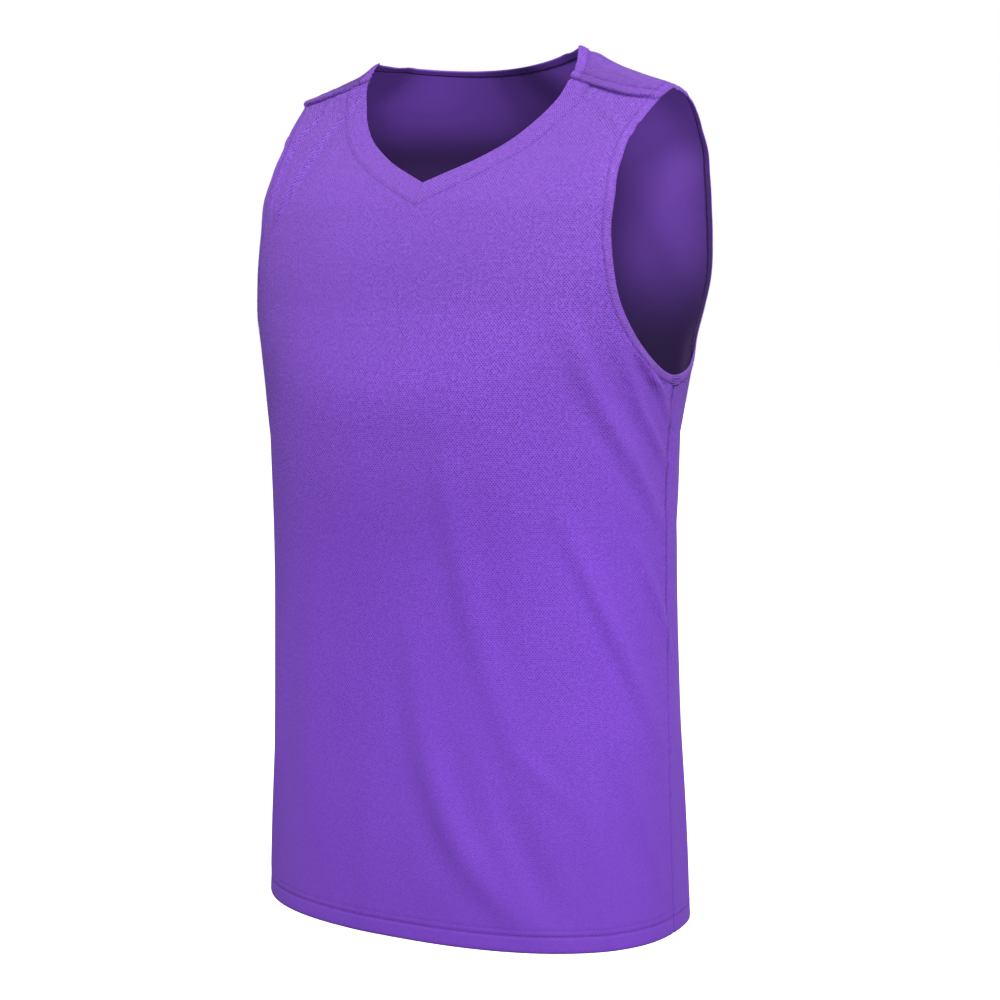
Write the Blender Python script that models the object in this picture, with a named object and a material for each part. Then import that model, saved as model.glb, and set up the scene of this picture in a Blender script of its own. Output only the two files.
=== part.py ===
"""Sleeveless V-neck basketball jersey, holding the form it has when it is worn.

Metres, +Z up. The front faces -Y and the wearer's left is +X. The origin lies midway between
the two places where the wearer's shoulders carry the straps.

All the cloth follows one smooth form. A place on it has two measures: the angle around the
body (0 at the centre front, 90 degrees at the left side seam and on the left shoulder's ridge,
180 at the centre back) and the drop below the neck point, where the neckline crosses the
shoulder. Seams and edges are curves of such places, and each piece is a wall of cloth over a
grid of them.
"""

from collections import namedtuple

import bmesh
import bpy
import numpy as np

# Sizes of the garment
NECK_POINT_Z = 0.017  # height of the neck point over the origin
BODY_LENGTH = 0.730  # neck point to hem
CLOTH_WALL = 0.0011  # one layer of the mesh knit
SEAM_GAP = 0.0003  # between two pieces that a seam joins
Section = namedtuple(
    "Section", "drop half_width side_back front_depth back_depth front_square back_square"
)
SECTIONS = (
    Section(0.000, 0.0984, 0.0030, 0.0120, 0.0150, 2.20, 2.0),
    Section(0.005, 0.1100, 0.0090, 0.0200, 0.0190, 2.30, 2.0),
    Section(0.010, 0.1205, 0.0130, 0.0265, 0.0260, 2.30, 2.1),
    Section(0.020, 0.1465, 0.0150, 0.0325, 0.0430, 2.40, 2.5),
    Section(0.030, 0.1745, 0.0135, 0.0355, 0.0620, 2.50, 2.9),
    Section(0.040, 0.1845, 0.0120, 0.0390, 0.0770, 2.60, 3.2),
    Section(0.050, 0.1895, 0.0110, 0.0450, 0.0850, 3.10, 3.5),
    Section(0.065, 0.1945, 0.0110, 0.0570, 0.0900, 3.90, 4.0),
    Section(0.080, 0.1985, 0.0110, 0.0690, 0.0930, 4.30, 4.6),
    Section(0.100, 0.2000, 0.0110, 0.0880, 0.0970, 3.80, 5.1),
    Section(0.120, 0.2005, 0.0110, 0.1030, 0.1015, 3.50, 5.3),
    Section(0.150, 0.2005, 0.0100, 0.1145, 0.1090, 3.15, 5.1),
    Section(0.180, 0.1995, 0.0080, 0.1210, 0.1155, 2.95, 4.5),
    Section(0.210, 0.1975, 0.0060, 0.1255, 0.1185, 2.75, 3.5),
    Section(0.240, 0.1930, 0.0030, 0.1305, 0.1180, 2.55, 2.75),
    Section(0.280, 0.1865, 0.0000, 0.1365, 0.1145, 2.30, 2.45),
    Section(0.330, 0.1825, -0.001, 0.1355, 0.1095, 2.30, 2.3),
    Section(0.420, 0.1825, -0.001, 0.1280, 0.1050, 2.30, 2.3),
    Section(0.520, 0.1850, -0.001, 0.1240, 0.1090, 2.30, 2.3),
    Section(0.620, 0.1880, -0.001, 0.1240, 0.1165, 2.30, 2.4),
    Section(0.730, 0.1925, -0.001, 0.1250, 0.1250, 2.30, 2.5),
)

# Openings. The neckline and the shoulder seam are drawn on the front view (the back neckline on
# the back view), the armhole on the side view.
AcrossRow = namedtuple("AcrossRow", "across drop")
NECK_FRONT = (
    AcrossRow(0.0000, 0.1090),
    AcrossRow(0.0210, 0.0997),
    AcrossRow(0.0415, 0.0900),
    AcrossRow(0.0650, 0.0750),
    AcrossRow(0.0800, 0.0600),
    AcrossRow(0.0905, 0.0450),
    AcrossRow(0.0972, 0.0300),
    AcrossRow(0.0997, 0.0150),
    AcrossRow(0.0990, 0.0050),
    AcrossRow(0.0984, 0.0000),
)
NECK_BACK = (
    AcrossRow(0.0984, 0.0000),
    AcrossRow(0.0935, 0.0008),
    AcrossRow(0.0790, 0.0030),
    AcrossRow(0.0600, 0.0056),
    AcrossRow(0.0400, 0.0075),
    AcrossRow(0.0200, 0.0087),
    AcrossRow(0.0000, 0.0091),
)
SHOULDER_SEAM = (
    AcrossRow(0.0985, 0.024),
    AcrossRow(0.1250, 0.033),
    AcrossRow(0.1500, 0.040),
    AcrossRow(0.1760, 0.043),
)
SideRow = namedtuple("SideRow", "forward drop")
ARMHOLE = (
    SideRow(-0.003, 0.2655),
    SideRow(0.019, 0.2610),
    SideRow(0.0385, 0.2500),
    SideRow(0.0570, 0.2325),
    SideRow(0.0705, 0.2090),
    SideRow(0.0763, 0.1800),
    SideRow(0.0757, 0.1450),
    SideRow(0.0698, 0.1150),
    SideRow(0.0566, 0.0900),
    SideRow(0.0396, 0.0695),
    SideRow(0.0200, 0.0525),
    SideRow(0.0035, 0.0400),
    SideRow(-0.011, 0.0335),
    SideRow(-0.028, 0.0342),
    SideRow(-0.045, 0.0392),
    SideRow(-0.0600, 0.0475),
    SideRow(-0.0725, 0.0585),
    SideRow(-0.0825, 0.0725),
    SideRow(-0.0905, 0.0890),
    SideRow(-0.0970, 0.1090),
    SideRow(-0.1030, 0.1350),
    SideRow(-0.1055, 0.1630),
    SideRow(-0.1025, 0.1890),
    SideRow(-0.0930, 0.2130),
    SideRow(-0.0770, 0.2340),
    SideRow(-0.0550, 0.2515),
    SideRow(-0.0290, 0.2620),
)

# Bands and bindings: width on the cloth, how far they stand proud of it and reach under it
NECK_BAND_WIDTH = 0.020
NECK_BINDING_WIDTH = 0.009
ARM_BINDING_WIDTH = 0.0075
BAND_PROUD = 0.0002
BAND_UNDER = 0.0017
EDGE_ROUND = 0.0009  # how much of its width a free edge takes to round off

# The turned hem and the felled shoulder seam are thicker cloth
HEM_DEPTH = 0.018
HEM_UNDER = 0.0021
FELL_WIDTH = 0.008
FELL_PROUD = 0.0007
STEP = 0.0015  # the slope from thick cloth to thin

# Grid counts. Rows run from the hem up, columns from the side inwards.
BODY_ROWS = 15
FRONT_CENTRE_ROWS = 12
FRONT_NECK_ROWS = 14
BACK_CENTRE_ROWS = 13
BACK_NECK_ROWS = 15
COLUMNS = 14
SEAM_BEND_ROWS = 8  # how many rows next to the shoulder seam share its curve

# Ridges of cloth, drawn straight between two places and fading out at both; bow is how far the
# middle swings round the body, in degrees
Fold = namedtuple("Fold", "around_top drop_top around_low drop_low bow half_width height")
FOLDS = (
    Fold(41, 0.215, 88, 0.395, -3, 0.022, 0.0040),
    Fold(60, 0.235, 92, 0.300, -3, 0.013, 0.0026),
    Fold(68, 0.270, 98, 0.350, -2, 0.014, 0.0026),
    Fold(14, 0.340, 30, 0.560, 2, 0.026, 0.0036),
    Fold(6, 0.460, 40, 0.720, -4, 0.026, 0.0036),
    Fold(46, 0.385, 80, 0.570, -2, 0.026, 0.0036),
    Fold(-38, 0.020, -46, 0.105, 3, 0.012, 0.0026),
    Fold(-30, 0.035, -38, 0.125, 3, 0.012, 0.0026),
    Fold(-44, 0.210, -84, 0.380, 3, 0.024, 0.0040),
    Fold(-63, 0.245, -95, 0.310, 2, 0.014, 0.0024),
    Fold(-20, 0.400, -34, 0.640, -3, 0.028, 0.0034),
    Fold(-48, 0.480, -60, 0.715, 3, 0.026, 0.0034),
    Fold(137, 0.210, 98, 0.390, 3, 0.024, 0.0040),
    Fold(118, 0.240, 96, 0.310, 2, 0.014, 0.0026),
    Fold(-139, 0.220, -97, 0.370, -4, 0.023, 0.0038),
    Fold(-120, 0.245, -100, 0.330, -2, 0.014, 0.0024),
    Fold(168, 0.300, 150, 0.560, 4, 0.030, 0.0040),
    Fold(-170, 0.360, -146, 0.620, -3, 0.030, 0.0040),
    Fold(140, 0.470, 128, 0.715, -3, 0.028, 0.0036),
    Fold(-126, 0.480, -118, 0.720, 3, 0.028, 0.0034),
)

# Linear colours
PANEL_COLOUR = (0.225, 0.066, 0.560, 1.0)
BACK_COLOUR = (0.215, 0.062, 0.540, 1.0)
BAND_COLOUR = (0.245, 0.075, 0.590, 1.0)
BINDING_COLOUR = (0.205, 0.058, 0.520, 1.0)


def smooth_column(field, drop):
    """A column of SECTIONS at any drop, by a cubic through the rows."""
    x = np.array([row.drop for row in SECTIONS])
    y = np.array([getattr(row, field) for row in SECTIONS])
    slope = np.gradient(y, x)
    drop = np.clip(drop, x[0], x[-1])
    k = np.clip(np.searchsorted(x, drop, side="right") - 1, 0, len(x) - 2)
    step = x[k + 1] - x[k]
    t = (drop - x[k]) / step
    return (
        y[k] * (1 + 2 * t) * (1 - t) ** 2
        + slope[k] * step * t * (1 - t) ** 2
        + y[k + 1] * t**2 * (3 - 2 * t)
        + slope[k + 1] * step * t**2 * (t - 1)
    )


def depth_and_power(drop, behind):
    """A section's depth and how square it is (2 is an ellipse), in front or behind."""
    depth = np.where(behind, smooth_column("back_depth", drop), smooth_column("front_depth", drop))
    power = np.where(behind, smooth_column("back_square", drop), smooth_column("front_square", drop))
    return depth, power


def form(around, drop):
    """The smooth form: a superellipse at each drop, with its own front and back halves."""
    sine, cosine = np.sin(around), np.cos(around)
    depth, power = depth_and_power(drop, cosine < 0)
    scale = (np.abs(sine) ** power + np.abs(cosine) ** power) ** (-1 / power)
    x = smooth_column("half_width", drop) * scale * sine
    y = smooth_column("side_back", drop) - depth * scale * cosine
    return np.stack([x, y, NECK_POINT_Z - drop], axis=-1)


def other_share(share, power):
    """Where a superellipse is at this share of one half axis, its share of the other."""
    return (1 - np.clip(np.abs(share), 0, 1) ** power) ** (1 / power)


def around_at_width(across, drop, behind):
    """The angle at which the section reaches a distance to the side, in front or behind."""
    share = np.clip(across / smooth_column("half_width", drop), 0, 1)
    power = depth_and_power(drop, behind)[1]
    angle = np.arctan2(share, other_share(share, power))
    return np.pi - angle if behind else angle


def around_at_depth(forward, drop):
    """The angle on the left half at which the section lies this far in front of the origin."""
    forward = forward + smooth_column("side_back", drop)
    depth, power = depth_and_power(drop, forward < 0)
    share = forward / depth
    return np.pi / 2 - np.arctan2(share, other_share(share, power))


def fold_height(around, drop):
    """How far the folds lift the cloth: a rounded ridge with a shallow trough on either side."""
    lift = np.zeros(np.broadcast(around, drop).shape)
    reach = 0.155  # a mean radius, to measure degrees of turn as a length
    for fold in FOLDS:
        start, end = np.radians(fold.around_top), np.radians(fold.around_low)
        along = (end - start) * reach, fold.drop_low - fold.drop_top
        length = np.hypot(*along)
        turn = (around - start + np.pi) % (2 * np.pi) - np.pi
        from_top = drop - fold.drop_top
        share = (turn * reach * along[0] + from_top * along[1]) / length**2
        bow = np.radians(fold.bow) * reach * np.sin(np.pi * np.clip(share, 0, 1))
        aside = (turn * reach * along[1] - from_top * along[0]) / length - bow
        fade = np.sin(np.pi * np.clip(share, 0, 1)) ** 1.5
        near = (aside / fold.half_width) ** 2
        lift += fold.height * fade * (1 - 0.6 * near) * np.exp(-near)
    return lift


def unit(vectors):
    return vectors / np.maximum(np.linalg.norm(vectors, axis=-1, keepdims=True), 1e-12)


def tangents(surface, around, drop):
    """The surface's derivatives by angle and by drop, from small steps either way."""
    h = 1e-4
    by_angle = (surface(around + h, drop) - surface(around - h, drop)) / (2 * h)
    by_drop = (surface(around, drop + h) - surface(around, drop - h)) / (2 * h)
    return by_angle, by_drop


def outward(surface, around, drop):
    by_angle, by_drop = tangents(surface, around, drop)
    return unit(np.cross(by_drop, by_angle))


def cloth(around, drop):
    """The outer face of the cloth: the form with its folds."""
    return form(around, drop) + fold_height(around, drop)[..., None] * outward(form, around, drop)


def place(surface_points, lift):
    """Cloth points moved out along the surface by lift."""
    around, drop = surface_points[..., 0], surface_points[..., 1]
    return cloth(around, drop) + np.asarray(lift)[..., None] * outward(cloth, around, drop)


def length_along(curve):
    steps = np.linalg.norm(np.diff(form(curve[:, 0], curve[:, 1]), axis=0), axis=1)
    return np.concatenate([[0], np.cumsum(steps)])


def spaced(curve, count, tail=()):
    """The curve cut into even real lengths, and then the lengths listed in tail."""
    along = length_along(curve)
    lengths = np.linspace(0, along[-1] - sum(tail), count + 1)
    lengths = np.concatenate([lengths, lengths[-1] + np.cumsum(tail)])
    return np.stack([np.interp(lengths, along, curve[:, k]) for k in (0, 1)], axis=1)


def through(rows, closed=False, fine=12):
    """A smooth curve through a table's rows, as many fine points between each two."""
    p = np.array(rows, float)
    ends = (p[-1], p[0], p[1]) if closed else (2 * p[0] - p[1], None, 2 * p[-1] - p[-2])
    p = np.vstack([ends[0], p, ends[1], ends[2]] if closed else [ends[0], p, ends[2]])
    t = np.linspace(0, 1, fine, endpoint=False)[:, None]
    spans = [
        0.5
        * (
            2 * p[i]
            + (p[i + 1] - p[i - 1]) * t
            + (2 * p[i - 1] - 5 * p[i] + 4 * p[i + 1] - p[i + 2]) * t**2
            + (3 * p[i] - p[i - 1] - 3 * p[i + 1] + p[i + 2]) * t**3
        )
        for i in range(1, len(p) - 2)
    ]
    return np.vstack([*spans, p[-2]])


def beside(curve, distance, side):
    """The curve moved sideways over the form, in small steps that follow it; side is +1 or -1."""
    along = np.gradient(form(curve[:, 0], curve[:, 1]), axis=0)
    sideways = side * np.cross(along, outward(form, curve[:, 0], curve[:, 1]))
    steps = int(np.ceil(distance / 0.002))
    moved = curve.copy()
    for _ in range(steps):
        by_angle, by_drop = tangents(form, moved[:, 0], moved[:, 1])
        normal = unit(np.cross(by_drop, by_angle))
        ahead = unit(sideways - (sideways * normal).sum(1, keepdims=True) * normal) * distance / steps
        aa, dd = (by_angle**2).sum(1), (by_drop**2).sum(1)
        ad = (by_angle * by_drop).sum(1)
        to_angle, to_drop = (ahead * by_angle).sum(1), (ahead * by_drop).sum(1)
        moved[:, 0] += (to_angle * dd - to_drop * ad) / (aa * dd - ad**2)
        moved[:, 1] += (to_drop * aa - to_angle * ad) / (aa * dd - ad**2)
    return moved


def across_curve(rows, behind):
    across, drop = through(rows).T
    return np.stack([around_at_width(across, drop, behind), drop], axis=1)


def meeting(first, second, after=-1):
    """The fractional index on the first curve where it next crosses the second."""
    a, b = first[:-1, None], np.diff(first, axis=0)[:, None]
    c, d = second[None, :-1], np.diff(second, axis=0)[None]
    turn = b[..., 0] * d[..., 1] - b[..., 1] * d[..., 0]
    turn = np.where(np.abs(turn) < 1e-15, 1e-15, turn)
    gap = c - a
    s = (gap[..., 0] * d[..., 1] - gap[..., 1] * d[..., 0]) / turn
    t = (gap[..., 0] * b[..., 1] - gap[..., 1] * b[..., 0]) / turn
    i, j = np.nonzero((s >= 0) & (s <= 1) & (t >= 0) & (t <= 1))
    at = i + s[i, j]
    return at[at > after].min()


def piece_of(curve, start, end):
    """The part of a curve between two fractional indices."""
    inside = np.arange(np.floor(start) + 1, np.ceil(end))
    at = np.concatenate([[start], inside, [end]])
    return np.stack([np.interp(at, np.arange(len(curve)), curve[:, k]) for k in (0, 1)], axis=1)


def between(curve, first, last):
    """The part of a curve from where it crosses one line to where it then crosses another."""
    start = meeting(curve, first)
    return piece_of(curve, start, meeting(curve, last, start + 0.5))


def upright(around, half_gap=0.0):
    """A line up the form at one angle, moved round it by half a seam gap."""
    drop = np.linspace(-0.01, BODY_LENGTH, 200)
    depth = depth_and_power(drop, half_gap > 0)[0]
    return np.stack([around + half_gap / depth, drop], axis=1)


def neck_edge():
    """The left half of the neckline's free edge, from the centre front round to the centre back,
    with a straight tail past both."""
    edge = np.vstack([across_curve(NECK_FRONT, False)[:-1], across_curve(NECK_BACK, True)])
    before = np.linspace(8, 1, 8)[:, None] * (edge[0] - edge[1])
    after = np.linspace(1, 8, 8)[:, None] * (edge[-1] - edge[-2])
    return np.vstack([edge[0] + before, edge, edge[-1] + after])


def shoulder_seam():
    """The left shoulder seam from the neck outwards, with a straight tail past both ends."""
    seam = across_curve(SHOULDER_SEAM, False)
    return np.vstack([13 * seam[0] - 12 * seam[1], seam, 13 * seam[-1] - 12 * seam[-2]])


def armhole_edge():
    """The left armhole's free edge from the underarm up the front, over the shoulder and down the
    back, with some overlap."""
    forward, drop = through(ARMHOLE, closed=True).T
    edge = np.stack([around_at_depth(forward, drop), drop], axis=1)
    return np.vstack([edge[-30:-1], edge, edge[1:30]])


def lay_out():
    """Every edge and seam of the left half at the rows' stations. Curves round the neck start at
    the centre, curves round the armhole at the underarm, and all end at the shoulder seam."""
    half = SEAM_GAP / 2
    neck, arm, seam = neck_edge(), armhole_edge(), shoulder_seam()
    seam_front, seam_back = beside(seam, half, 1), beside(seam, half, -1)
    centre_front, centre_back, side = upright(0), upright(np.pi), upright(np.pi / 2)
    fell = (STEP, FELL_WIDTH)
    front_rows = FRONT_CENTRE_ROWS + FRONT_NECK_ROWS
    back_rows = BACK_CENTRE_ROWS + BACK_NECK_ROWS

    def on_neck(width):
        front = between(beside(neck, width, 1), centre_front, seam_front)
        back = between(beside(neck[::-1], width, -1), centre_back, seam_back)
        return spaced(front, FRONT_NECK_ROWS), spaced(back, BACK_NECK_ROWS, fell)

    def on_arm(width, front_side, back_side):
        front = between(beside(arm, width, -1), front_side, seam_front)
        back = between(beside(arm[::-1], width, 1), back_side, seam_back)
        return spaced(front, front_rows), spaced(back, back_rows, fell)

    def on_seam(line, arm_edge, neck_edge):
        return between(line[::-1], arm_edge, neck_edge)

    wide, narrow = NECK_BAND_WIDTH + SEAM_GAP, NECK_BINDING_WIDTH + SEAM_GAP
    arm_line = beside(arm, ARM_BINDING_WIDTH + SEAM_GAP, -1)
    front_side, back_side = upright(np.pi / 2, -half), upright(np.pi / 2, half)
    return {
        "front seam": on_seam(seam_front, arm_line, beside(neck, wide, 1)),
        "back seam": on_seam(seam_back, arm_line, beside(neck, narrow, 1)),
        "band edge": on_neck(0)[0],
        "band seam": on_neck(NECK_BAND_WIDTH)[0],
        "front neck": on_neck(wide)[0],
        "binding edge": on_neck(0)[1],
        "binding seam": on_neck(NECK_BINDING_WIDTH)[1],
        "back neck": on_neck(narrow)[1],
        "arm edge": on_arm(0, side, side),
        "arm seam": on_arm(ARM_BINDING_WIDTH, side, side),
        "front arm": on_arm(ARM_BINDING_WIDTH + SEAM_GAP, front_side, back_side)[0],
        "back arm": on_arm(ARM_BINDING_WIDTH + SEAM_GAP, front_side, back_side)[1],
    }


def body_drops(underarm):
    """The rows from the hem up to the underarm, with one pair where the turned hem ends."""
    hem_top = BODY_LENGTH - HEM_DEPTH
    rise = np.linspace(hem_top - STEP, underarm, BODY_ROWS)[:-1]
    return np.concatenate([[BODY_LENGTH, hem_top], rise])


def panel_places(arm, neck, side, seam, centre, centre_rows):
    """A half panel's grid of places. Each row runs from the side seam or the armhole in to the
    centre line or the neck seam: straight at first, and the last rows take on the curve of the
    shoulder seam."""
    drops = body_drops(arm[0, 1])
    side_rows = np.stack([np.interp(drops, side[:, 1], side[:, 0]), drops], axis=1)
    rise = np.linspace(arm[0, 1], neck[0, 1], centre_rows + 1)[:-1]
    centre_drops = np.concatenate([drops, rise])
    centre_line = np.stack([np.full_like(centre_drops, centre), centre_drops], axis=1)
    outer = np.vstack([side_rows, arm])[:, None]
    inner = np.vstack([centre_line, neck])[:, None]
    share = np.linspace(0, 1, COLUMNS + 1)[:, None]
    places = outer * (1 - share) + inner * share
    bend = spaced(seam, COLUMNS) - places[-1]
    rows_left = np.arange(len(places))[::-1]
    return places + np.clip(1 - rows_left / SEAM_BEND_ROWS, 0, 1)[:, None, None] * bend


def panel_under(places):
    """One layer of cloth, and the turned hem's second layer with its allowance."""
    turned = np.clip((places[..., 1] - (BODY_LENGTH - HEM_DEPTH - STEP)) / STEP, 0, 1)
    return CLOTH_WALL + (HEM_UNDER - CLOTH_WALL) * turned


def band_places(edge, seam, width):
    """A band's grid: four places across at each station, two of them close to the free edge."""
    share = np.array([0, EDGE_ROUND / width, 0.5, 1])[:, None]
    return edge[:, None] * (1 - share) + seam[:, None] * share


def band_wall(places):
    """How far a band reaches out and under: less at the free edge, which rounds off."""
    soft = np.array([1, 0, 0, 0]) * 0.0006
    out = np.broadcast_to(BAND_PROUD - soft, places.shape[:2])
    under = np.broadcast_to(BAND_UNDER - soft, places.shape[:2])
    return out, under


def wall(places, out, under, mirrored=False, closed=False):
    """Points and faces of a wall of cloth over a grid of places: an outer face, an inner face and
    the rims between them, left off along the centre line where the other half joins on."""
    if mirrored:
        places = places * (-1, 1)
    count = places[..., 0].size
    index = np.arange(count).reshape(places.shape[:2])
    loop = np.vstack([index, index[:1]]) if closed else index
    a, b, c, d = loop[:-1, :-1], loop[:-1, 1:], loop[1:, 1:], loop[1:, :-1]
    quads = np.stack([a, b, c, d], axis=-1).reshape(-1, 4)
    edges = [np.stack([a[:, 0], d[:, 0]], axis=1), np.stack([c[:, -1], b[:, -1]], axis=1)]
    if not closed:
        edges += [np.stack([b[0], a[0]], axis=1), np.stack([d[-1], c[-1]], axis=1)]
    edges = np.vstack(edges)
    on_centre = np.isin(np.round(np.abs(places[..., 0]).ravel(), 9), (0, round(np.pi, 9)))
    edges = edges[~on_centre[edges].all(axis=1)]
    rims = np.hstack([edges, edges[:, ::-1] + count])
    faces = np.vstack([quads, quads[:, ::-1] + count, rims])
    points = np.vstack([place(places, out).reshape(-1, 3), place(places, -under).reshape(-1, 3)])
    corner, across, _, along = points[quads[len(quads) // 2]]
    outwards = corner - points[quads[len(quads) // 2][0] + count]
    if np.cross(across - corner, along - corner) @ outwards < 0:
        faces = faces[:, ::-1]
    return points, faces


def solid(name, walls, colour):
    """One named object from its walls, joined where their points coincide."""
    starts = np.cumsum([0] + [len(points) for points, _ in walls])
    points = np.vstack([points for points, _ in walls])
    faces = np.vstack([faces + start for (_, faces), start in zip(walls, starts)])
    mesh = bpy.data.meshes.new(name)
    mesh.from_pydata(points.tolist(), [], faces.tolist())
    work = bmesh.new()
    work.from_mesh(mesh)
    bmesh.ops.remove_doubles(work, verts=work.verts, dist=1e-6)
    bmesh.ops.triangulate(work, faces=work.faces)
    work.to_mesh(mesh)
    work.free()
    mesh.materials.append(cloth_material(name + "_cloth", colour))
    item = bpy.data.objects.new(name, mesh)
    bpy.context.scene.collection.objects.link(item)
    return item


def cloth_material(name, colour):
    material = bpy.data.materials.new(name)
    material.use_nodes = True
    shader = material.node_tree.nodes["Principled BSDF"]
    shader.inputs["Base Color"].default_value = colour
    shader.inputs["Roughness"].default_value = 0.75
    return material


def front_panel(seams):
    """The front: both side seams, the armholes' front halves, the V neck seam and the shoulder seams."""
    side = upright(np.pi / 2, -SEAM_GAP / 2)
    places = panel_places(
        seams["front arm"], seams["front neck"], side, seams["front seam"], 0, FRONT_CENTRE_ROWS
    )
    out, under = np.zeros(places.shape[:2]), panel_under(places)
    walls = [wall(places, out, under, mirrored) for mirrored in (False, True)]
    return solid("front_panel", walls, PANEL_COLOUR)


def back_panel(seams):
    """The back, carried over the shoulders to the seam in front of them, where it is felled."""
    side = upright(np.pi / 2, SEAM_GAP / 2)
    places = panel_places(
        seams["back arm"], seams["back neck"], side, seams["back seam"], np.pi, BACK_CENTRE_ROWS
    )
    out, under = np.zeros(places.shape[:2]), panel_under(places)
    out[-2:] = FELL_PROUD
    walls = [wall(places, out, under, mirrored) for mirrored in (False, True)]
    return solid("back_panel", walls, BACK_COLOUR)


def neck_band(seams):
    """The V neck's doubled band, mitred at the centre front."""
    places = band_places(seams["band edge"], seams["band seam"], NECK_BAND_WIDTH)
    walls = [wall(places, *band_wall(places), mirrored) for mirrored in (False, True)]
    return solid("neck_band", walls, BAND_COLOUR)


def back_neck_binding(seams):
    """The narrow binding round the back of the neck, from one shoulder seam to the other."""
    places = band_places(seams["binding edge"], seams["binding seam"], NECK_BINDING_WIDTH)
    walls = [wall(places, *band_wall(places), mirrored) for mirrored in (False, True)]
    return solid("back_neck_binding", walls, BINDING_COLOUR)


def armhole_binding(name, seams, mirrored):
    """A closed ring of binding round one armhole."""
    edge, seam = (
        np.vstack([front, back[-2:0:-1]]) for front, back in (seams["arm edge"], seams["arm seam"])
    )
    places = band_places(edge, seam, ARM_BINDING_WIDTH)
    return solid(name, [wall(places, *band_wall(places), mirrored, closed=True)], BINDING_COLOUR)


def main():
    for item in list(bpy.data.objects):
        bpy.data.objects.remove(item)
    seams = lay_out()
    front_panel(seams)
    back_panel(seams)
    neck_band(seams)
    back_neck_binding(seams)
    armhole_binding("armhole_binding_left", seams, False)
    armhole_binding("armhole_binding_right", seams, True)


if __name__ == "__main__":
    main()
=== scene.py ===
from functools import partial

import bpy
import numpy as np
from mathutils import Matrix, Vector


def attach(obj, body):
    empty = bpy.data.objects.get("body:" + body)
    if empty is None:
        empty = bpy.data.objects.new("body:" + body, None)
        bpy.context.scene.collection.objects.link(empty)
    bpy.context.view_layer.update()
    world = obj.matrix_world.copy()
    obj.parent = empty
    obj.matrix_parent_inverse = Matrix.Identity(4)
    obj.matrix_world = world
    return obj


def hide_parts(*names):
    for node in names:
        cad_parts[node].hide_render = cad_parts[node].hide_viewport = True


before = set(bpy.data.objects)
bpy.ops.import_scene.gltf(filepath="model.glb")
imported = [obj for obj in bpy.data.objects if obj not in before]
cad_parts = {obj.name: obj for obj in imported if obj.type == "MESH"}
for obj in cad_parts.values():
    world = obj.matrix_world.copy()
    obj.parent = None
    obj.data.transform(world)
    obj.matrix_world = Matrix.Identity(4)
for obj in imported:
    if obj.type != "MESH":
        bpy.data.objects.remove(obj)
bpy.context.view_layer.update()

# Metres, +Z up. The front faces -Y and the wearer's left is +X. A place on the cloth has two
# measures: the angle around the body (0 at the centre front, pi/2 at the left side, pi at the
# centre back) and the drop below the neck point.
shape = {
    "neckPointZ": 0.017,
    "bodyLength": 0.730,
    "wall": 0.0011,
    "seamGap": 0.00004,
    "columns": "drop halfWidth sideBack frontDepth backDepth frontSquare backSquare".split(),
    "sections": (
        (0.000, 0.0984, 0.0030, 0.0120, 0.0150, 2.20, 2.00),
        (0.005, 0.1100, 0.0090, 0.0200, 0.0190, 2.30, 2.00),
        (0.010, 0.1205, 0.0130, 0.0265, 0.0260, 2.30, 2.10),
        (0.020, 0.1465, 0.0150, 0.0325, 0.0430, 2.40, 2.50),
        (0.030, 0.1745, 0.0135, 0.0355, 0.0620, 2.50, 2.90),
        (0.040, 0.1845, 0.0120, 0.0390, 0.0770, 2.60, 3.20),
        (0.050, 0.1895, 0.0110, 0.0450, 0.0850, 3.10, 3.50),
        (0.065, 0.1945, 0.0110, 0.0570, 0.0900, 3.90, 4.00),
        (0.080, 0.1985, 0.0110, 0.0690, 0.0930, 4.30, 4.60),
        (0.100, 0.2000, 0.0110, 0.0880, 0.0970, 3.80, 5.10),
        (0.120, 0.2005, 0.0110, 0.1030, 0.1015, 3.50, 5.30),
        (0.150, 0.2005, 0.0100, 0.1145, 0.1090, 3.15, 5.10),
        (0.180, 0.1995, 0.0080, 0.1210, 0.1155, 2.95, 4.50),
        (0.210, 0.1975, 0.0060, 0.1255, 0.1185, 2.75, 3.50),
        (0.240, 0.1930, 0.0030, 0.1305, 0.1180, 2.55, 2.75),
        (0.280, 0.1865, 0.0000, 0.1365, 0.1145, 2.30, 2.45),
        (0.330, 0.1825, -0.001, 0.1355, 0.1095, 2.30, 2.30),
        (0.420, 0.1825, -0.001, 0.1280, 0.1050, 2.30, 2.30),
        (0.520, 0.1850, -0.001, 0.1240, 0.1090, 2.30, 2.30),
        (0.620, 0.1880, -0.001, 0.1240, 0.1165, 2.30, 2.40),
        (0.730, 0.1925, -0.001, 0.1250, 0.1250, 2.30, 2.50),
    ),
}

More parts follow.
